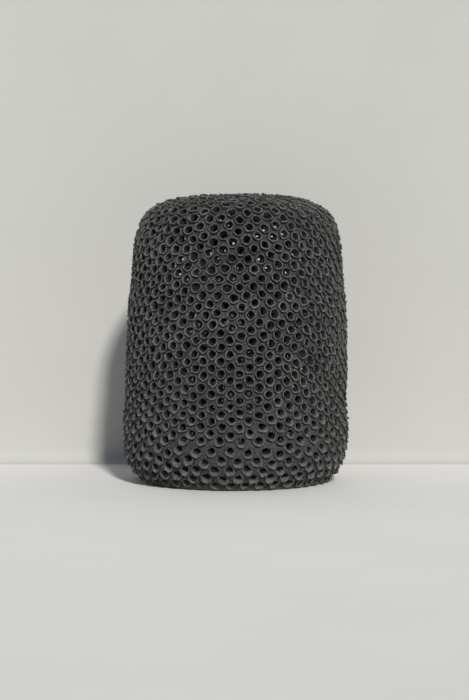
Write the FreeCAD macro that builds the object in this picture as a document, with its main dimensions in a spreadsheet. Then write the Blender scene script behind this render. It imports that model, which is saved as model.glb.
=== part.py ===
"""Openwork clay pot: a floor slab that carries a wall of short clay rings.

Each ring is one pressed piece of clay: a short tube whose tip stands proud as a rim, with a web of
clay round it that meets its neighbours. The rings are laid from the slab upwards, each new one
settled into the valley between two rings below it, over the shoulder and in to the round mouth.

Millimetres. The origin is the centre of the rest face, +Z is up and -Y is the front.
"""

import FreeCAD, Part
import heapq
import math
import os
import random
import Sketcher
from FreeCAD import Vector

# alias, value, meaning; lengths are in millimetres
SIZES = [
    ("slab_radius", 153.0, "radius of the floor slab"),
    ("slab_thickness", 4.0, "thickness of the floor slab"),
    ("slab_edge", 1.0, "chamfer round the slab's lower edge"),
    ("foot_radius", 155.5, "wall outline: where it leaves the slab"),
    ("foot_height", 4.0, ""),
    ("heel_radius", 168.0, "wall outline: under the turn of the foot"),
    ("heel_height", 13.0, ""),
    ("turn_radius", 183.5, "wall outline: over the turn of the foot"),
    ("turn_height", 35.0, ""),
    ("belly_radius", 190.0, "wall outline: widest place"),
    ("belly_height", 68.0, ""),
    ("flank_radius", 188.0, "wall outline: lower flank"),
    ("flank_height", 135.0, ""),
    ("waist_radius", 186.5, "wall outline: half way up"),
    ("waist_height", 215.0, ""),
    ("chest_radius", 183.5, "wall outline: upper flank"),
    ("chest_height", 295.0, ""),
    ("shoulder_radius", 178.0, "wall outline: foot of the shoulder"),
    ("shoulder_height", 362.0, ""),
    ("turnover_radius", 169.5, "wall outline: side of the shoulder"),
    ("turnover_height", 425.0, ""),
    ("brow_radius", 153.0, "wall outline: top of the shoulder"),
    ("brow_height", 456.0, ""),
    ("crown_radius", 124.0, "wall outline: edge of the flat crown"),
    ("crown_height", 474.0, ""),
    ("inner_crown_radius", 88.0, "wall outline: on the crown"),
    ("inner_crown_height", 480.0, ""),
    ("mouth_radius", 58.0, "wall outline: edge of the mouth"),
    ("mouth_height", 481.0, ""),
    ("lean", 5.0, "how far the crown stands to +X of the foot"),
    ("ring_width", 18.7, "outer width that one ring takes up, high on the wall"),
    ("foot_ring_width", 20.2, "the same in the lowest courses"),
    ("calm_slant", 90.0, "slant height above which rings keep their upper width"),
    ("width_spread", 0.04, "spread of ring widths, as a share"),
    ("foot_rings", 43, "rings in the lowest course"),
    ("foot_slant", 11.0, "slant height of the lowest course"),
    ("flank_rings", 37, "rings in the evenly spread course that the upper wall is built on"),
    ("flank_slant", 92.0, "slant height of that course"),
    ("mouth_rings", 21, "rings in the course that edges the mouth"),
    ("mouth_margin", 9.0, "slant distance from that course to the mouth's edge"),
    ("rim_share", 0.46, "rim radius as a share of ring width"),
    ("bore_tip_share", 0.34, "bore radius at the rim as a share of ring width"),
    ("bore_root_share", 0.21, "bore radius at the wall's inner face, as a share of ring width"),
    ("rim_height", 2.2, "how far a rim stands above its web"),
    ("web_thickness", 7.0, "thickness of the clay web"),
    ("joint_gap", 0.05, "width of the joint line between neighbouring rings"),
    ("cell_reach", 16.0, "how far a web reaches from its ring where no neighbour stops it"),
    ("course_count", 28, "nodes that the ring wall is divided into, by slant height"),
]

OUTLINE = (
    "foot heel turn belly flank waist chest shoulder turnover brow crown inner_crown mouth"
).split()
OUTLINE_SAMPLES = 1500
SEED = 21
TOUCH = 0.985  # rings may press this close together, as a share of touching
CLEAR_REACH = 1.3  # rings further apart than this many widths can't press on each other
WIDTH_LIMIT = 2.0  # a width strays from the usual one by no more than this many spreads
VALLEY_HALVINGS = 24
# how far rings stray in each evenly spread course: share of their spacing, slant height
FOOT_STRAY = (0.12, 4.0)
FLANK_STRAY = (0.06, 3.0)
MOUTH_STRAY = (0.04, 0.5)
EASE_ROUNDS = 5
EASE_STEP = 0.35
START_CORNERS = 16
BORE_OVERRUN = 1.0  # how far the bore's cutter runs past each face
SEARCH_REACH = 2.1  # neighbours are looked for within this many ring widths


def make_sheet(doc):
    sheet = doc.addObject("Spreadsheet::Sheet", "Sizes")
    for row, (alias, value, meaning) in enumerate(SIZES, start=1):
        sheet.set(f"A{row}", alias)
        sheet.set(f"B{row}", str(value))
        sheet.setAlias(f"B{row}", alias)
        sheet.set(f"C{row}", meaning)
    doc.recompute()
    return sheet


def make_floor_slab(doc):
    body = doc.addObject("PartDesign::Body", "floor_slab")
    body.Label = "floor_slab"
    planes = {plane.Role: plane for plane in body.Origin.OriginFeatures}
    sketch = body.newObject("Sketcher::SketchObject", "slab_outline")
    sketch.AttachmentSupport = [(planes["XY_Plane"], "")]
    sketch.MapMode = "FlatFace"
    circle = sketch.addGeometry(Part.Circle(Vector(), Vector(0, 0, 1), 1.0), False)
    circle_centre = (circle, 3)
    sketch_origin = (-1, 1)
    sketch.addConstraint(Sketcher.Constraint("Coincident", *circle_centre, *sketch_origin))
    radius = sketch.addConstraint(Sketcher.Constraint("Radius", circle, 1.0))
    sketch.setExpression(f"Constraints[{radius}]", "Sizes.slab_radius")
    pad = body.newObject("PartDesign::Pad", "slab_pad")
    pad.Profile = sketch
    pad.setExpression("Length", "Sizes.slab_thickness")
    doc.recompute()
    edges = pad.Shape.Edges
    lowest = min(range(len(edges)), key=lambda index: edges[index].BoundBox.ZMax)
    chamfer = body.newObject("PartDesign::Chamfer", "slab_chamfer")
    chamfer.Base = (pad, [f"Edge{lowest + 1}"])
    chamfer.setExpression("Size", "Sizes.slab_edge")
    body.Tip = chamfer
    return body


class Wall:
    """The surface that the rim tips lie on, by angle round the axis and slant height up the wall."""

    def __init__(self, sizes):
        points = [
            Vector(sizes[place + "_radius"], 0, sizes[place + "_height"]) for place in OUTLINE
        ]
        curve = Part.BSplineCurve()
        curve.interpolate(points)
        edge = curve.toShape()
        self.samples = edge.discretize(Number=OUTLINE_SAMPLES)
        self.length = edge.Length
        self.lean = sizes["lean"] / sizes["mouth_height"]

    def outline(self, slant):
        """(radius, height) at a slant height, and the outline's direction there."""
        place = slant / self.length * (OUTLINE_SAMPLES - 1)
        index = min(max(int(place), 0), OUTLINE_SAMPLES - 2)
        below, above = self.samples[index], self.samples[index + 1]
        step = above - below
        at = below + step * (place - index)
        return at.x, at.z, step.normalize()

    def point(self, angle, slant):
        radius, height, _ = self.outline(slant)
        lean = self.lean * height
        return Vector(radius * math.cos(angle) + lean, radius * math.sin(angle), height)

    def axes(self, angle, slant):
        """Unit vectors along the course, up the slant and straight out of the wall."""
        step = self.outline(slant)[2]
        along = Vector(-math.sin(angle), math.cos(angle), 0)
        up = Vector(step.x * math.cos(angle), step.x * math.sin(angle), step.z)
        return along, up, along.cross(up)


class Ring:
    def __init__(self, wall, angle, slant, width):
        self.width = width
        self.move(wall, angle, slant)

    def move(self, wall, angle, slant):
        self.angle = angle
        self.slant = slant
        self.radius, self.height, _ = wall.outline(slant)
        self.tip = wall.point(angle, slant)
        self.along, self.up, self.out = wall.axes(angle, slant)


class Grid:
    """Rings sorted into cubes of space, to find the ones near a point."""

    def __init__(self, pitch):
        self.pitch = pitch
        self.cubes = {}

    def cube(self, point):
        return tuple(int(math.floor(value / self.pitch)) for value in point)

    def add(self, ring):
        self.cubes.setdefault(self.cube(ring.tip), []).append(ring)

    def near(self, point, reach):
        x, y, z = self.cube(point)
        steps = range(-1, 2)
        found = []
        for cube in ((x + i, y + j, z + k) for i in steps for j in steps for k in steps):
            found += [r for r in self.cubes.get(cube, ()) if r.tip.distanceToPoint(point) < reach]
        return found


def touch_angle(wall, ring, slant, width):
    """Angle round the axis between a ring and one of this width, at this slant, that touches it."""
    radius, height, _ = wall.outline(slant)
    reach = (ring.width + width) / 2
    flat = radius**2 + ring.radius**2 + (height - ring.height) ** 2 - reach**2
    cosine = flat / (2 * radius * ring.radius)
    return math.acos(max(-1.0, min(1.0, cosine)))


def valley(wall, left, right, width):
    """(slant, angle) of the spot between and above two rings where a ring touches both, or None."""
    apart = math.remainder(right.angle - left.angle, 2 * math.pi)
    low = max(left.slant, right.slant)
    high = min(low + width, wall.length)

    def slack(slant):
        reach = touch_angle(wall, left, slant, width) + touch_angle(wall, right, slant, width)
        return reach - apart

    if apart <= 0 or slack(low) < 0 or slack(high) > 0:
        return None
    for _ in range(VALLEY_HALVINGS):
        middle = (low + high) / 2
        low, high = (middle, high) if slack(middle) > 0 else (low, middle)
    return low, left.angle + touch_angle(wall, left, low, width)


def lay_rings(wall, sizes):
    """Rings laid up the wall, each in the lowest free valley, round three evenly spread courses."""
    dice = random.Random(SEED)
    mouth_slant = wall.length - sizes["mouth_margin"]
    grid = Grid(SEARCH_REACH * sizes["foot_ring_width"])
    rings = []
    valleys = []

    def draw_width(slant):
        calm = min(1.0, slant / sizes["calm_slant"]) ** 2
        usual = sizes["foot_ring_width"] + calm * (sizes["ring_width"] - sizes["foot_ring_width"])
        stray = max(-WIDTH_LIMIT, min(WIDTH_LIMIT, dice.gauss(0, 1)))
        return usual * (1 + sizes["width_spread"] * stray)

    def lay(angle, slant, width):
        ring = Ring(wall, angle, slant, width)
        for mate in grid.near(ring.tip, SEARCH_REACH * width):
            for left, right in ((ring, mate), (mate, ring)):
                next_width = draw_width(slant)
                spot = valley(wall, left, right, next_width)
                if spot and spot[0] < mouth_slant:
                    heapq.heappush(valleys, (*spot, next_width))
        rings.append(ring)
        grid.add(ring)

    def lay_even_course(count, lowest, stray):
        for number in range(count):
            turn = (number + dice.uniform(-stray[0], stray[0])) / count
            slant = lowest + dice.uniform(0, stray[1])
            lay(2 * math.pi * turn, slant, draw_width(lowest))

    lay_even_course(int(sizes["foot_rings"]), sizes["foot_slant"], FOOT_STRAY)
    lay_even_course(int(sizes["flank_rings"]), sizes["flank_slant"], FLANK_STRAY)
    lay_even_course(int(sizes["mouth_rings"]), mouth_slant, MOUTH_STRAY)
    while valleys:
        slant, angle, width = heapq.heappop(valleys)
        tip = wall.point(angle, slant)
        mates = grid.near(tip, CLEAR_REACH * width)
        if all(tip.distanceToPoint(m.tip) > TOUCH * (m.width + width) / 2 for m in mates):
            lay(angle, slant, width)
    return rings


def clip(outline, normal, reach):
    """The part of a convex outline where the normal's component stays under reach."""
    kept = []
    for index, point in enumerate(outline):
        before = outline[index - 1]
        height = normal[0] * point[0] + normal[1] * point[1] - reach
        height_before = normal[0] * before[0] + normal[1] * before[1] - reach
        if height * height_before < 0:
            share = height_before / (height_before - height)
            step = (point[0] - before[0], point[1] - before[1])
            kept.append((before[0] + share * step[0], before[1] + share * step[1]))
        if height <= 0:
            kept.append(point)
    return kept


def web_outline(ring, mates, sizes):
    """Corners of a ring's web, along the course and up the slant from the ring's axis.

    Each side lies half way to a neighbour at the wall's inner face, where the rings are closest,
    so straight-sided webs meet there and stand clear of each other everywhere else.
    """
    thickness = sizes["web_thickness"]
    depth = sizes["rim_height"] + thickness
    root = ring.tip - ring.out * depth
    turns = [2 * math.pi * (k + 0.5) / START_CORNERS for k in range(START_CORNERS)]
    reach = sizes["cell_reach"]
    outline = [(reach * math.cos(turn), reach * math.sin(turn)) for turn in turns]

    def cut(towards, distance, height):
        normal = (towards.dot(ring.along), towards.dot(ring.up))
        return clip(outline, normal, distance - max(0.0, height * towards.dot(ring.out)))

    for mate in mates:
        gap = mate.tip - mate.out * depth - root
        half = (gap.Length - sizes["joint_gap"]) / 2
        outline = cut(gap.normalize(), half, depth)
    above_floor = root.z - sizes["slab_thickness"] - sizes["joint_gap"]
    outline = cut(Vector(0, 0, -1), above_floor, thickness)
    inwards = Vector(-math.cos(ring.angle), -math.sin(ring.angle), 0)
    edge = ring.radius - depth * ring.out.dot(-inwards) - sizes["mouth_radius"]
    return cut(inwards, edge, thickness)


def mates_of(rings, sizes):
    """The neighbours of each ring, in the order of the rings."""
    reach = SEARCH_REACH * sizes["ring_width"]
    grid = Grid(reach)
    for ring in rings:
        grid.add(ring)
    return [[m for m in grid.near(r.tip, reach) if m is not r] for r in rings]


def centroid(outline):
    face = Part.Face(Part.makePolygon([Vector(x, y, 0) for x, y in outline + outline[:1]]))
    return face.CenterOfMass


def ease_rings(wall, rings, sizes):
    """Moves every ring part of the way to the middle of its web, which evens out the webs."""
    highest = wall.length - sizes["mouth_margin"]
    for _ in range(EASE_ROUNDS):
        webs = [web_outline(r, mates, sizes) for r, mates in zip(rings, mates_of(rings, sizes))]
        for ring, outline in zip(rings, webs):
            middle = centroid(outline)
            slant = ring.slant + EASE_STEP * middle.y
            slant = min(max(slant, sizes["foot_slant"]), highest)
            ring.move(wall, ring.angle + EASE_STEP * middle.x / ring.radius, slant)


def ring_solid(ring, mates, sizes):
    """One ring: its web, its rim and the bore through both."""
    outline = web_outline(ring, mates, sizes)
    inscribed = min(side_distance(a, b) for a, b in zip(outline, outline[1:] + outline[:1]))
    rim_radius = min(sizes["rim_share"] * ring.width, inscribed - sizes["joint_gap"])
    length = sizes["rim_height"] + sizes["web_thickness"]
    root = ring.tip - ring.out * length
    corners = [root + ring.along * x + ring.up * y for x, y in outline]
    thickness = ring.out * sizes["web_thickness"]
    web = Part.Face(Part.makePolygon(corners + corners[:1])).extrude(thickness)
    tube = Part.makeCylinder(rim_radius, length, root, ring.out)
    root_radius = sizes["bore_root_share"] * ring.width
    tip_radius = sizes["bore_tip_share"] * ring.width
    widening = (tip_radius - root_radius) / length * BORE_OVERRUN
    bore = Part.makeCone(
        root_radius - widening,
        tip_radius + widening,
        length + 2 * BORE_OVERRUN,
        root - ring.out * BORE_OVERRUN,
        ring.out,
    )
    return web.fuse(tube).cut(bore).removeSplitter().Solids[0]


def side_distance(a, b):
    """Distance of the origin from the line through two points."""
    return abs(a[0] * b[1] - a[1] * b[0]) / math.hypot(b[0] - a[0], b[1] - a[1])


def make_courses(doc, wall, rings, sizes):
    """One object per course: a group of separate rings of about the same slant height."""
    count = int(sizes["course_count"])
    courses = [[] for _ in range(count)]
    for ring, mates in zip(rings, mates_of(rings, sizes)):
        number = min(int(ring.slant / wall.length * count), count - 1)
        courses[number].append(ring_solid(ring, mates, sizes))
    features = []
    for number, solids in enumerate(courses, start=1):
        name = f"ring_course_{number:02d}"
        feature = doc.addObject("Part::Feature", name)
        feature.Label = name
        feature.Shape = Part.makeCompound(solids)
        feature.Placement = FreeCAD.Placement()
        features.append(feature)
        print(name, len(solids), "rings")
    return features


def check(doc, pieces):
    for item in doc.Objects:
        if "Invalid" in item.State or "Error" in item.State:
            raise RuntimeError(f"{item.Name} did not compute: {item.State}")
    for piece in pieces:
        if piece.Shape.isNull() or not piece.Shape.isValid():
            raise RuntimeError(f"{piece.Label} has no valid shape")


def main():
    doc = FreeCAD.newDocument("openwork_pot")
    sheet = make_sheet(doc)
    sizes = {alias: float(sheet.get(alias)) for alias, _, _ in SIZES}
    wall = Wall(sizes)
    rings = lay_rings(wall, sizes)
    ease_rings(wall, rings, sizes)
    pieces = [make_floor_slab(doc), *make_courses(doc, wall, rings, sizes)]
    doc.recompute()
    check(doc, pieces)
    os.makedirs("parts", exist_ok=True)
    for piece in pieces:
        piece.Shape.exportStep(os.path.join("parts", piece.Label + ".step"))
    print(len(rings), "rings in", len(pieces) - 1, "courses")


main()
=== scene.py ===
"""Blender model of the openwork clay pot, in metres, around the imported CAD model.

Every ring of the wall is read from the CAD (its axis, its tip and its width) and made again as one
hand-pressed piece of clay, with a flared bore, a rounded lip and a web that meets its neighbours'.
Near the foot the rings are scoops with a proud lower lip; higher up they are thin rims that stand proud at
their lower left.
"""

import bmesh
import bpy
import math
import numpy as np
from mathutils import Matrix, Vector


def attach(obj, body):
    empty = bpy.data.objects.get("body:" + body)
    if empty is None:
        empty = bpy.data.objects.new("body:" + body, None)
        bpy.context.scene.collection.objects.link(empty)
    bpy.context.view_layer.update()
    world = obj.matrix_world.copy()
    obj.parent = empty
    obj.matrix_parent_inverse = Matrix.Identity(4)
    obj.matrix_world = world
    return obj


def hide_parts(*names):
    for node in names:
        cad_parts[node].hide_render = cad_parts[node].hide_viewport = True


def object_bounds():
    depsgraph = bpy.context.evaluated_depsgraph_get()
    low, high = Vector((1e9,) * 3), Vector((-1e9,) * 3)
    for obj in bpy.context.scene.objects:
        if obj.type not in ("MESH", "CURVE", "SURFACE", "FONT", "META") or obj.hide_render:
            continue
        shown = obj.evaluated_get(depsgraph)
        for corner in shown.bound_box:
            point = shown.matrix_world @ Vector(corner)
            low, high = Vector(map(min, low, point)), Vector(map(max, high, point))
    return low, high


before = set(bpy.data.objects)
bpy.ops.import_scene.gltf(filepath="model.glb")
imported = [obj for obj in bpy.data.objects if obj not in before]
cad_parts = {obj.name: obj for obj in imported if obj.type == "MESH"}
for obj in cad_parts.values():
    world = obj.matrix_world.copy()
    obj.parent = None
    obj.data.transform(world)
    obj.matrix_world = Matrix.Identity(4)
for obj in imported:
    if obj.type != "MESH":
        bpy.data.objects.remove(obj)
cad_low, cad_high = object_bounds()

MM = 0.001
SEED = 11
ANGLES = 28  # points round a ring
TURNS = np.arange(ANGLES) * 2 * math.pi / ANGLES
WELD = 1e-6  # points closer than this are one
SAME_PLANE = 0.9995  # two normals this close belong to one flat face
FLAT = 2e-5  # points of a flat face lie this close to one plane
POT_MIDDLE = (np.array(cad_low) + np.array(cad_high)) / 2
SHARP_FOLD = math.radians(65)  # faces that meet at more than this are shaded apart

WALL_DEPTH = 9.2 * MM  # from the rim tips to the wall's inner face
WEB_DEPTH = 2.5 * MM  # from the rim tips to the web between rings
LAP = 0.1 * MM  # neighbouring webs run this far into each other
CELL_REACH = 17 * MM  # how far a web may reach from its ring's axis
CELL_SIDES = 16  # sides of a web's outline before its neighbours cut it
MATE_REACH = 42 * MM  # rings closer than this can be neighbours
FLOOR_TOP = 4 * MM  # top of the CAD's floor slab
MOUTH_EDGE = 58 * MM  # radius of the CAD's mouth
CAD_RIM = 8.6 * MM  # rim radius of a middling CAD ring

SCOOP_TOP = 0.2  # above this height no ring is a scoop
SCOOP_FULL = 0.1  # below this height every ring is one
CROWN_FROM, CROWN_TO = 0.452, 0.472  # between these heights the lips sink for the flat top


def smooth(low, high, value):
    share = np.clip((value - low) / (high - low), 0.0, 1.0)
    return share * share * (3 - 2 * share)


def unit(vectors):
    return vectors / np.linalg.norm(vectors, axis=-1, keepdims=True)


# ---------------------------------------------------------------- rings of the CAD model

def solids_of(node):
    """The corners of the triangles of each separate solid in a CAD node, as (count, 3, 3) arrays."""
    mesh = node.data
    mesh.calc_loop_triangles()
    corners = np.empty(len(mesh.loop_triangles) * 3, np.int32)
    mesh.loop_triangles.foreach_get("vertices", corners)
    places = np.empty(len(mesh.vertices) * 3, np.float32)
    mesh.vertices.foreach_get("co", places)
    places = places.reshape(-1, 3).astype(float)
    keys = np.round(places / WELD).astype(np.int64)
    shared = np.unique(keys, axis=0, return_inverse=True)[1].ravel()
    triangles = shared[corners].reshape(-1, 3)
    label = np.arange(shared.max() + 1)
    settled = False
    while not settled:
        spread = label.copy()
        np.minimum.at(spread, triangles, label[triangles].min(axis=1, keepdims=True))
        spread = spread[spread]
        settled = np.array_equal(spread, label)
        label = spread
    owner = label[triangles[:, 0]]
    corners = places[corners].reshape(-1, 3, 3)
    return [corners[owner == one] for one in np.unique(owner)]


def read_ring(corners):
    """(tip, out, rim radius) of one CAD ring."""
    across = np.cross(corners[:, 1] - corners[:, 0], corners[:, 2] - corners[:, 0])
    area = np.linalg.norm(across, axis=1)
    normals = across / np.maximum(area, 1e-15)[:, None]
    flat_area = (normals @ normals.T > SAME_PLANE) @ area
    out = normals[flat_area.argmax()]
    points = np.unique(corners.reshape(-1, 3), axis=0)
    out = out if out @ (points.mean(axis=0) - POT_MIDDLE) > 0 else -out
    height = points @ out
    rim = points[height > height.max() - FLAT]
    tip = rim.mean(axis=0)
    return tip, out, np.linalg.norm(rim - tip, axis=1).max()


def clip(outline, normal, reach):
    """The part of a convex outline where the normal's component stays under reach."""
    kept = []
    for index, point in enumerate(outline):
        before = outline[index - 1]
        height = normal[0] * point[0] + normal[1] * point[1] - reach
        height_before = normal[0] * before[0] + normal[1] * before[1] - reach
        if height * height_before < 0:
            share = height_before / (height_before - height)
            step = (point[0] - before[0], point[1] - before[1])
            kept.append((before[0] + share * step[0], before[1] + share * step[1]))
        if height <= 0:
            kept.append(point)
    return kept


class Rings:
    """All rings of the wall as arrays, and the course that each belongs to."""

    def __init__(self, nodes):
        found = [
            (name, *read_ring(corners)) for name in sorted(nodes) for corners in solids_of(nodes[name])
        ]
        self.course = np.array([ring[0] for ring in found])
        self.tip = np.array([ring[1] for ring in found])
        self.out = unit(np.array([ring[2] for ring in found]))
        self.radius = np.array([ring[3] for ring in found])
        radial = unit(self.tip * [1, 1, 0])
        along = np.cross([0.0, 0.0, 1.0], radial)
        self.up = unit(np.cross(self.out, along))
        self.along = np.cross(self.up, self.out)
        gaps = np.linalg.norm(self.tip[:, None] - self.tip[None], axis=2)
        self.mates = [np.flatnonzero((row > 0) & (row < MATE_REACH)) for row in gaps]

    def cell(self, one, depth):
        """Corners of the web round a ring, at a depth under its tip, half way to its neighbours."""
        centre = self.tip[one] - depth * self.out[one]
        along, up = self.along[one], self.up[one]
        turns = [2 * math.pi * (k + 0.5) / CELL_SIDES for k in range(CELL_SIDES)]
        outline = [(CELL_REACH * math.cos(turn), CELL_REACH * math.sin(turn)) for turn in turns]
        for mate in self.mates[one]:
            gap = self.tip[mate] - depth * self.out[mate] - centre
            far = np.linalg.norm(gap)
            outline = clip(outline, (gap @ along / far, gap @ up / far), far / 2 + LAP)
        outline = clip(outline, (-along[2], -up[2]), centre[2] - FLOOR_TOP)
        away = math.hypot(*centre[:2])
        inwards = -centre * [1, 1, 0] / away
        return clip(outline, (inwards @ along, inwards @ up), away - MOUTH_EDGE)


def outline_rays(outline, turns):
    """Distance to a convex outline along each turn."""
    points = np.array(outline)
    sides = np.roll(points, -1, axis=0) - points
    normals = unit(np.stack([sides[:, 1], -sides[:, 0]], axis=1))
    reach = (normals * points).sum(axis=1)
    cosines = normals @ np.stack([np.cos(turns), np.sin(turns)])
    far = np.where(cosines > 1e-6, reach[:, None] / np.maximum(cosines, 1e-6), np.inf)
    return far.min(axis=0)


def corner_turns(outline):
    """The even turns, with the nearest one to each corner of the outline moved onto it."""
    step = TURNS[1] - TURNS[0]
    moved = TURNS.copy()
    last = -1
    for turn in sorted(math.atan2(y, x) % (2 * math.pi) for x, y in outline):
        index = max(last + 1, round(turn / step))
        moved[index % ANGLES] = turn - (2 * math.pi if index >= ANGLES else 0)
        last = index
    return moved


# ---------------------------------------------------------------- clay

class Ripple:
    """A smooth random shift of every point in space: sums of waves with random directions."""

    def __init__(self, dice, shortest, longest, size, count=12):
        self.waves = []
        for _ in range(3):
            ways = unit(dice.normal(size=(count, 3)))
            pitch = 2 * math.pi / dice.uniform(shortest, longest, size=(count, 1))
            self.waves.append((ways * pitch, dice.uniform(0, 2 * math.pi, size=count)))
        self.size = size * math.sqrt(2 / count)

    def shift(self, points):
        parts = [np.sin(points @ ways.T + phases).sum(axis=-1) for ways, phases in self.waves]
        return self.size * np.stack(parts, axis=-1)


def wobble(dice, count, turns, sizes):
    """A random closed wave round each ring: one size for each harmonic from the second up."""
    total = np.zeros((count, len(turns)))
    for harmonic, size in enumerate(sizes, start=2):
        phase = dice.uniform(0, 2 * math.pi, size=(count, 1))
        total += dice.normal(0, size, size=(count, 1)) * np.cos(harmonic * turns[None] + phase)
    return total


# Each line has four numbers: for an even rim, what its lower left side adds to that, for a scoop, and what
# its lower side adds. Radii and heights are in millimetres, and heights start at the CAD rim's plane.
LIP_EDGE = (6.75, 0, 5.9, 1.6)  # radius where the bore begins
LIP_OUT = (8.5, -0.2, 7.1, 1.9)  # outer radius of the lip
LIP_GAP = (0.3, 0.8, 0.3, -0.5)  # least gap between a lip and the web's edge
LIP_WIDTH = (1.3, 0, 1.4, 0)  # least width of a lip
CREST = (0.4, 0.3, 0.5, 0)  # the crest's place across the lip, from 0 inside to 1 outside
LIP_HEIGHT = (-1.5, 3.2, -2.4, 4.5)
LIP_FALL = (0.9, 0.5, 1.0, 0)  # from the crest to the bore's edge
WEB_FALL = (0.3, 0, 0, 0)  # of the web under WEB_DEPTH
DIP = (0, 1.3, 0, 1.2)  # of the web beside the lip, under the web's edge
FOOT = (0.3, 0.5, 0.3, 0.3)  # from the lip to the bottom of that dip
THROAT_HEIGHT = (-5.2, 0, -3.9, 0)
RISE = (0, 0, 1.1, 0)  # shift of the throat up the wall
# the same, for how pale (up to 1) or dark (down to -1) a place is painted: up is partly rubbed wear and
# partly painted highlight, down is painted shade
# rubbed wear and painted highlight on the crests, strongest at an even rim's lower left and a scoop's lower
# lip, which face the light
RUB_AND_HIGHLIGHT = (0.5, 0.5, 0.1, 0.8)
# painted shade darkens an even rim's bore, under a painted highlight on its edge; the lower inside of a
# scoop's bore, which faces the light, gets painted light instead
BORE_EDGE_SHADE = (0.3, 0, 0, 0.7)
BORE_SHADE = (-0.3, 0, 0, 0.6)
THROAT_SHADE = (-0.8, 0, -0.6, 0.8)
# painted highlight on the outer edge of the lip
LIP_FOOT_SHADE = (0.2, 0, 0, 0.2)
# painted shade in the creases round each lip, darkest at the lower left where the proud lip's shadow falls,
# and a little on the webs between rings
CREASE_SHADE = (-0.3, -0.7, -0.3, -0.7)
WEB_SHADE = -0.14

THROAT = 6.2  # radius of an even rim's throat
SCOOP_THROAT = (6.0, 5.8)  # half width and half height of a scoop's
ROOT = 2.8  # radius of the bore at the wall's inner face
LOW_LEFT = -2.05  # the turn that even rims are proud at
SCOOP_TURN = -math.pi / 2 - 0.1  # the turn that scoops open towards
CROWN_SINK, CROWN_WEB_SINK = 2.2, 1.0
SIZE_WAVES = [0.035, 0.022, 0.018, 0.014, 0.01]  # share of the radius, for wobble()
BORE_WAVES = [0.045, 0.025, 0.015]
LIP_WAVES = [0.25, 0.22, 0.2, 0.17, 0.14, 0.1, 0.08]  # millimetres


def web_outlines(rings, picked, depth):
    """The webs' outlines at a depth: turns that hit every corner, the reach there, and at even turns."""
    cells = [rings.cell(one, depth) for one in picked]
    turns = np.array([corner_turns(cell) for cell in cells])
    reach = np.array([outline_rays(cell, row) for cell, row in zip(cells, turns)])
    even_reach = np.array([outline_rays(cell, TURNS) for cell in cells])
    return turns, reach, even_reach


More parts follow.
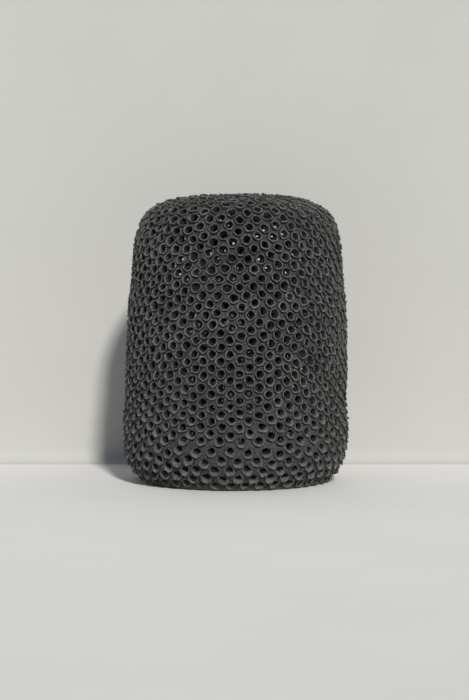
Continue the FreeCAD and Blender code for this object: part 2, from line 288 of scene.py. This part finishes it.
def ring_points(rings, picked, dice):
    """Points of the picked rings, (rings, rows, angles, 3), and each one's painted shade (below 0) or
    paleness (above 0), which is partly rubbed wear and partly painted highlight.

    The rows run from the wall's inner face out through the bore, over the lip and down to the web.
    """
    count = len(picked)
    outer_turns, outer_reach, room = web_outlines(rings, picked, WEB_DEPTH)
    inner_turns, inner_reach, _ = web_outlines(rings, picked, WALL_DEPTH)
    turns = np.broadcast_to(TURNS, (count, ANGLES))

    def draw(middle, spread):
        return dice.normal(middle, spread, size=(count, 1))

    height = rings.tip[picked, 2][:, None]
    scoop = 1 - smooth(SCOOP_FULL, SCOOP_TOP, height + draw(0, 0.012))
    scoop = scoop * smooth(-0.01, 0.03, height)
    crown = smooth(CROWN_FROM, CROWN_TO, height)
    facing = draw(SCOOP_TURN, 0.22)
    down = ((1 + np.cos(turns - facing)) / 2) ** 1.6
    side = scoop * np.sin(turns - facing) ** 2
    low_left = (1 + np.cos(turns - LOW_LEFT + draw(0, 0.35))) / 2

    def mix(even, even_low_left, scooped, scooped_down):
        even = even + even_low_left * low_left
        return even + scoop * (scooped + scooped_down * down - even)

    size = draw(1.0, 0.03) * (1 + wobble(dice, count, TURNS, SIZE_WAVES))
    bore = draw(1.0, 0.055) * (1 + wobble(dice, count, TURNS, BORE_WAVES))
    rim = rings.radius[picked][:, None] / CAD_RIM
    lip_edge = (mix(*LIP_EDGE) + 0.2 * side) * MM * bore * rim
    lip_out = (mix(*LIP_OUT) + 0.6 * side) * MM * size * rim
    lip_out = np.minimum(lip_out, room - mix(*LIP_GAP) * MM)
    lip_edge = np.minimum(lip_edge, lip_out - mix(*LIP_WIDTH) * MM)
    crest = lip_edge + mix(*CREST) * (lip_out - lip_edge)
    wide, high = SCOOP_THROAT
    oval = wide * high / np.hypot(high * np.cos(turns), wide * np.sin(turns))
    throat = mix(THROAT, 0, oval, 0) * MM * bore * rim
    root = ROOT * MM * bore

    tilt = draw(0, 0.7) * np.cos(turns - dice.uniform(0, 2 * math.pi, size=(count, 1)))
    lip = mix(*LIP_HEIGHT) + (1 - 0.6 * scoop) * tilt - CROWN_SINK * crown
    lip = (lip + wobble(dice, count, TURNS, LIP_WAVES)) * MM
    web = -WEB_DEPTH - (mix(*WEB_FALL) + CROWN_WEB_SINK * crown) * MM
    dip = web - mix(*DIP) * MM
    foot = np.minimum(lip_out + mix(*FOOT) * MM, room - 0.1 * MM)
    low = mix(*THROAT_HEIGHT) * MM
    half_turns = (turns + outer_turns) / 2
    lip_foot = lip - 0.7 * MM

    across = draw(0, 0.35 * MM)
    rise = mix(*RISE) * MM + draw(0, 0.35 * MM)
    crease = mix(*CREASE_SHADE)
    rub_and_highlight = mix(*RUB_AND_HIGHLIGHT)
    # each row: its turns, its reach, its height, its share of the bore's shift (across, rise), its painted
    # shade or paleness
    rows = [
        # the wall's inner face and the bore's root are painted fully dark: painted shade
        (inner_turns, inner_reach, -WALL_DEPTH, 0, -1),
        (turns, root + 1.4 * MM, -WALL_DEPTH, 1, -1),
        (turns, root + 0.15 * MM, -WALL_DEPTH + 0.5 * MM, 1, -1),
        (turns, root + 0.35 * (throat - root), -WALL_DEPTH + 1.4 * MM, 1, -1),
        (turns, throat - 0.25 * MM, low - 0.5 * MM, 1, -1),
        (turns, throat, low, 1, mix(*THROAT_SHADE)),
        (turns, 0.5 * (throat + lip_edge), 0.5 * (low + lip) - 0.4 * MM, 0.55, mix(*BORE_SHADE)),
        (turns, lip_edge - 0.15 * MM, lip - mix(*LIP_FALL) * MM, 0.1, mix(*BORE_EDGE_SHADE)),
        # the crest's rows: paler by rubbed wear and painted highlight
        (turns, lip_edge + 0.35 * (crest - lip_edge), lip - 0.35 * MM, 0, 0.85 * rub_and_highlight),
        (turns, crest, lip, 0, rub_and_highlight),
        (turns, crest + 0.6 * (lip_out - crest), lip - 0.2 * MM, 0, 0.85 * rub_and_highlight),
        (turns, lip_out, lip_foot, 0, mix(*LIP_FOOT_SHADE)),
        (turns, 0.6 * lip_out + 0.4 * foot, 0.5 * (lip_foot + dip), 0, 0.8 * crease),
        (half_turns, foot, dip + 0.15 * MM, 0, crease),
        (half_turns, 0.5 * (foot + room), 0.5 * (web + dip), 0, 0.45 * crease),
        (outer_turns, outer_reach, web - 0.1 * MM, 0, WEB_SHADE),
    ]
    points = []
    shades = []
    for row_turns, reach, rise_out, shifted, shade in rows:
        x = reach * np.cos(row_turns) + shifted * across
        y = reach * np.sin(row_turns) + shifted * rise
        out = np.broadcast_to(rise_out, x.shape)
        shades.append(np.broadcast_to(shade, x.shape))
        points.append(
            rings.tip[picked][:, None]
            + x[..., None] * rings.along[picked][:, None]
            + y[..., None] * rings.up[picked][:, None]
            + out[..., None] * rings.out[picked][:, None]
        )
    return np.stack(points, axis=1), np.stack(shades, axis=1)


def make_mesh(name, points, faces, lip):
    """A piece of clay; the material reads from the attribute "lip" how far each point is darkened by painted
    shade or made paler by rubbed wear and painted highlight.
    """
    mesh = bpy.data.meshes.new(name)
    mesh.vertices.add(len(points))
    mesh.vertices.foreach_set("co", points.astype(np.float32).ravel())
    mesh.loops.add(faces.size)
    mesh.loops.foreach_set("vertex_index", faces.astype(np.int32).ravel())
    mesh.polygons.add(len(faces))
    starts = np.arange(len(faces), dtype=np.int32) * faces.shape[1]
    mesh.polygons.foreach_set("loop_start", starts)
    mesh.update(calc_edges=True)
    mesh.validate()
    shade = mesh.attributes.new("lip", "FLOAT", "POINT")
    shade.data.foreach_set("value", lip.astype(np.float32).ravel())
    mesh.shade_smooth()
    mesh.set_sharp_from_angle(angle=SHARP_FOLD)
    piece = bpy.data.objects.new(name, mesh)
    bpy.context.scene.collection.objects.link(piece)
    return piece


def grid_faces(rows, columns, closed_rows):
    """Quads of a grid of points that closes round its columns, and over its rows too if asked."""
    row = np.arange(rows if closed_rows else rows - 1)[:, None]
    column = np.arange(columns)[None]
    next_row, next_column = (row + 1) % rows, (column + 1) % columns
    corners = [(row, column), (next_row, column), (next_row, next_column), (row, next_column)]
    return np.stack([r * columns + c for r, c in corners], axis=-1).reshape(-1, 4)


def finish_piece(piece, node, clay):
    piece.data.materials.append(clay)
    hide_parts(node)
    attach(piece, "root")


def make_course(name, rings, dice, ripples, clay):
    picked = np.flatnonzero(rings.course == name)
    points, lips = ring_points(rings, picked, dice)
    count, rows = points.shape[:2]
    points = points.reshape(-1, 3)
    points = points + sum(ripple.shift(points) for ripple in ripples)
    faces = grid_faces(rows, ANGLES, closed_rows=True)
    starts = np.arange(count)[:, None, None] * rows * ANGLES
    piece = make_mesh(name + "_clay", points, (faces + starts).reshape(-1, 4), lips)
    finish_piece(piece, name, clay)


SLAB_RADIUS = 155.3 * MM
SLAB_ROUND = 4.6 * MM  # radius of the round band at the slab's edge, which joins it to the lowest rings
SLAB_FLAT = 142 * MM  # inside this radius the slab's top is flat
SLAB_WAVES = [0.0012, 0.001, 0.0008, 0.0008, 0.0006, 0.0006]
SLAB_TURNS = 220


def slab_section():
    """Half section of the slab, from the middle of its underside round the edge to the middle of its top."""
    band = SLAB_RADIUS - SLAB_ROUND
    turns = np.linspace(-math.pi / 2, math.pi / 2, 13)
    under = [(0.0, 0.0), (0.5 * band, 0.0)]
    edge = [(band + SLAB_ROUND * math.cos(t), SLAB_ROUND + SLAB_ROUND * math.sin(t)) for t in turns]
    slope = [(0.5 * (band + SLAB_FLAT), 1.5 * FLOOR_TOP)]
    top = [(radius, FLOOR_TOP) for radius in np.linspace(SLAB_FLAT, 0, 7)]
    return np.array(under + edge + slope + top)


def make_slab(dice, ripples, clay):
    section = slab_section()
    turns = np.arange(SLAB_TURNS) * 2 * math.pi / SLAB_TURNS
    edge = 1 + wobble(dice, 1, turns, SLAB_WAVES)
    radius = section[:, :1] * edge
    height = np.broadcast_to(section[:, 1:], radius.shape)
    points = np.stack([radius * np.cos(turns), radius * np.sin(turns), height], axis=-1).reshape(-1, 3)
    rough = smooth(0.5 * MM, FLOOR_TOP, points[:, 2:])  # the underside stays flat
    points = points + rough * sum(ripple.shift(points) for ripple in ripples)
    faces = grid_faces(len(section), SLAB_TURNS, closed_rows=False)
    piece = make_mesh("floor_slab_clay", points, faces, np.full(len(points), 0.3))
    merged = bmesh.new()
    merged.from_mesh(piece.data)
    bmesh.ops.remove_doubles(merged, verts=merged.verts, dist=WELD)  # the points at the two middles
    merged.to_mesh(piece.data)
    merged.free()
    finish_piece(piece, "floor_slab", clay)


# ---------------------------------------------------------------- materials

class Nodes:
    """Short ways to build a material's node tree."""

    def __init__(self, name):
        self.material = bpy.data.materials.new(name)
        self.material.use_nodes = True
        self.tree = self.material.node_tree
        self.shader = self.tree.nodes["Principled BSDF"]
        self.place = self.add("ShaderNodeTexCoord").outputs["Object"]

    def add(self, kind, links=(), **settings):
        node = self.tree.nodes.new(kind)
        for key, value in settings.items():
            setattr(node, key, value)
        for socket, source in links:
            if isinstance(source, bpy.types.NodeSocket):
                self.tree.links.new(source, node.inputs[socket])
            else:
                node.inputs[socket].default_value = source
        return node

    def noise(self, scale, detail=3.0, roughness=0.55):
        links = [("Vector", self.place), ("Scale", scale), ("Detail", detail), ("Roughness", roughness)]
        return self.add("ShaderNodeTexNoise", links).outputs["Fac"]

    def ramp(self, value, stops):
        node = self.add("ShaderNodeValToRGB", [("Fac", value)])
        ramp = node.color_ramp
        while len(ramp.elements) < len(stops):
            ramp.elements.new(0.5)
        for element, (place, colour) in zip(ramp.elements, stops):
            element.position = place
            element.color = (*colour, 1)
        return node.outputs["Color"]

    def spread(self, value, low, high, to_low, to_high):
        links = [("Value", value), ("From Min", low), ("From Max", high)]
        links += [("To Min", to_low), ("To Max", to_high)]
        return self.add("ShaderNodeMapRange", links).outputs["Result"]

    def math(self, operation, first, second):
        return self.add("ShaderNodeMath", [(0, first), (1, second)], operation=operation).outputs[0]

    def times(self, first, second):
        """One colour multiplied by another; 0, 6 and 7 are the sockets of the node's colour mode."""
        links = [(0, 1.0), (6, first), (7, second)]
        return self.add("ShaderNodeMix", links, data_type="RGBA", blend_type="MULTIPLY").outputs[2]

    def bump(self, height, strength, distance, under=None):
        links = [("Height", height), ("Strength", strength), ("Distance", distance)]
        if under is not None:
            links.append(("Normal", under))
        return self.add("ShaderNodeBump", links).outputs["Normal"]

    def finish(self, colour, roughness, normal):
        self.tree.links.new(colour, self.shader.inputs["Base Color"])
        self.tree.links.new(roughness, self.shader.inputs["Roughness"])
        self.tree.links.new(normal, self.shader.inputs["Normal"])
        return self.material


# grains of each pattern in a metre
CLOUDS, FINGER_MARKS, CRUMBS, SPECKS, GRIT = 14, 210, 480, 520, 1900
SPECK_DARK, SPECK_PALE = (0.3, 0.3, 0.3), (1.95, 1.95, 1.94)


def clay_material(name, dark, pale):
    """Smoke-blackened clay: matt and mottled, darkened by painted shade in its bores, creases and webs, and
    paler on its rims by rubbed wear and painted highlight.
    """
    nodes = Nodes(name)
    lip = nodes.add("ShaderNodeAttribute", attribute_name="lip").outputs["Fac"]
    clouds = nodes.spread(nodes.noise(CLOUDS, 2), 0.3, 0.7, 0.0, 1.0)
    mottle = nodes.spread(nodes.noise(FINGER_MARKS, 4, 0.65), 0.28, 0.72, 0.0, 1.0)
    # paler where the attribute is above 0: rubbed wear and painted highlight
    rubbed_and_highlight = nodes.spread(lip, 0.0, 1.0, 0.0, 0.7)
    share = nodes.math("ADD", nodes.math("MULTIPLY", clouds, 0.15), nodes.math("MULTIPLY", mottle, 0.34))
    colour = nodes.ramp(nodes.math("ADD", share, rubbed_and_highlight), [(0.0, dark), (1.0, pale)])
    speck = nodes.ramp(nodes.noise(SPECKS, 4, 0.75), [(0.38, SPECK_DARK), (0.62, SPECK_PALE)])
    # darker where the attribute is below 0: painted shade
    painted_shade = nodes.spread(lip, -1.0, -0.05, 0.12, 1.0)
    painted_shade = nodes.add("ShaderNodeCombineXYZ", [("X", painted_shade), ("Y", painted_shade), ("Z", painted_shade)]).outputs[0]
    colour = nodes.times(nodes.times(colour, speck), painted_shade)
    matt = nodes.spread(mottle, 0, 1, 0.52, 0.74)
    rough = nodes.math("SUBTRACT", matt, nodes.math("MULTIPLY", rubbed_and_highlight, 0.3))
    grit = nodes.bump(nodes.noise(GRIT, 4, 0.7), 0.4, 0.25 * MM)
    crumbs = nodes.bump(nodes.noise(CRUMBS, 3, 0.7), 1.0, 2.7 * MM, grit)
    fingers = nodes.bump(nodes.noise(FINGER_MARKS, 3, 0.6), 0.8, 2.5 * MM, crumbs)
    nodes.shader.inputs["Specular IOR Level"].default_value = 0.45
    return nodes.finish(colour, rough, fingers)


def stage_material(name, colour, one_sided):
    """Plain paint or paper; a one-sided one is see-through from behind."""
    nodes = Nodes(name)
    tone = nodes.ramp(nodes.noise(5, 4), [(0.3, [0.97 * c for c in colour]), (0.7, colour)])
    rough = nodes.spread(nodes.noise(60, 3), 0.3, 0.7, 0.85, 0.95)
    material = nodes.finish(tone, rough, nodes.bump(nodes.noise(400, 4), 0.15, 0.4 * MM))
    if one_sided:
        behind = nodes.add("ShaderNodeNewGeometry").outputs["Backfacing"]
        clear = nodes.add("ShaderNodeBsdfTransparent").outputs[0]
        end = nodes.tree.nodes["Material Output"]
        pick = nodes.add("ShaderNodeMixShader", [(0, behind), (1, nodes.shader.outputs[0]), (2, clear)])
        nodes.tree.links.new(pick.outputs[0], end.inputs["Surface"])
    return material


# ---------------------------------------------------------------- stage, light and camera

WALL_AT = 0.281  # distance of the backdrop behind the pot's axis
WALL_HEIGHT = 3.0
COVE = 0.03  # radius of the round corner between floor and wall
STAGE_WIDTH = 8.0  # from the pot's axis to each side
FLOOR_COLOUR = (0.84, 0.83, 0.81)
WALL_COLOUR = (0.575, 0.57, 0.545)
SUN_COLOUR = (1.0, 0.975, 0.94)
SUN_TOWARDS = (-0.27, 1.0, -0.73)
SUN_POWER = 2.85
SUN_WIDTH = math.radians(6)
SKY_COLOUR = (0.66, 0.83, 1.0, 1)
SKY_POWER = 0.19
CAMERA_PLACE = (-0.001, -2.268, 0.266)
CAMERA_DIP = math.radians(1.12)  # how far the camera looks down


def make_stage():
    """A pale floor, and a pale wall close behind the pot that isn't seen from its back."""
    turns = np.linspace(0, math.pi / 2, 13)
    floor = [(-STAGE_WIDTH, 0.0), (0.0, 0.0), (STAGE_WIDTH, 0.0)]
    cove = [(WALL_AT - COVE + COVE * math.sin(t), COVE - COVE * math.cos(t)) for t in turns]
    wall = [(WALL_AT, 1.0), (WALL_AT, WALL_HEIGHT)]
    for name, line, colour, one_sided in (
        ("stage_floor", floor, FLOOR_COLOUR, False),
        ("stage_wall", cove + wall, WALL_COLOUR, True),
    ):
        points = [(x, y, z) for y, z in line for x in (-STAGE_WIDTH, STAGE_WIDTH)]
        faces = [(2 * k, 2 * k + 1, 2 * k + 3, 2 * k + 2) for k in range(len(line) - 1)]
        mesh = bpy.data.meshes.new(name)
        mesh.from_pydata(points, [], faces)
        mesh.shade_smooth()
        mesh.materials.append(stage_material(name, colour, one_sided))
        piece = bpy.data.objects.new(name, mesh)
        bpy.context.scene.collection.objects.link(piece)


def make_light():
    scene = bpy.context.scene
    key = bpy.data.lights.new("key", "SUN")
    key.energy = SUN_POWER
    key.angle = SUN_WIDTH
    key.color = SUN_COLOUR
    lamp = bpy.data.objects.new("key", key)
    lamp.rotation_euler = Vector(SUN_TOWARDS).to_track_quat("-Z", "Y").to_euler()
    scene.collection.objects.link(lamp)
    world = bpy.data.worlds.new("sky")
    world.use_nodes = True
    sky = world.node_tree.nodes["Background"]
    sky.inputs["Color"].default_value = SKY_COLOUR
    sky.inputs["Strength"].default_value = SKY_POWER
    scene.world = world
    scene.view_settings.view_transform = "Standard"


def make_camera():
    camera = bpy.data.cameras.new("camera")
    camera.lens = 68.5
    camera.sensor_width = 36.0
    holder = bpy.data.objects.new("camera", camera)
    holder.location = CAMERA_PLACE
    holder.rotation_euler = (math.pi / 2 - CAMERA_DIP, 0, 0)
    bpy.context.scene.collection.objects.link(holder)
    bpy.context.scene.camera = holder


dice = np.random.default_rng(SEED)
ripples = [Ripple(dice, 4 * MM, 12 * MM, 0.38 * MM), Ripple(dice, 40 * MM, 110 * MM, 0.5 * MM)]
rings = Rings({name: node for name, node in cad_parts.items() if name.startswith("ring_course")})
ring_clay = clay_material("ring_clay_black", (0.018, 0.018, 0.0183), (0.174, 0.173, 0.169))
slab_clay = clay_material("slab_clay_black", (0.05, 0.05, 0.051), (0.15, 0.15, 0.148))
for course in sorted(set(rings.course)):
    make_course(course, rings, dice, ripples, ring_clay)
make_slab(dice, ripples, slab_clay)
make_stage()
make_light()
make_camera()
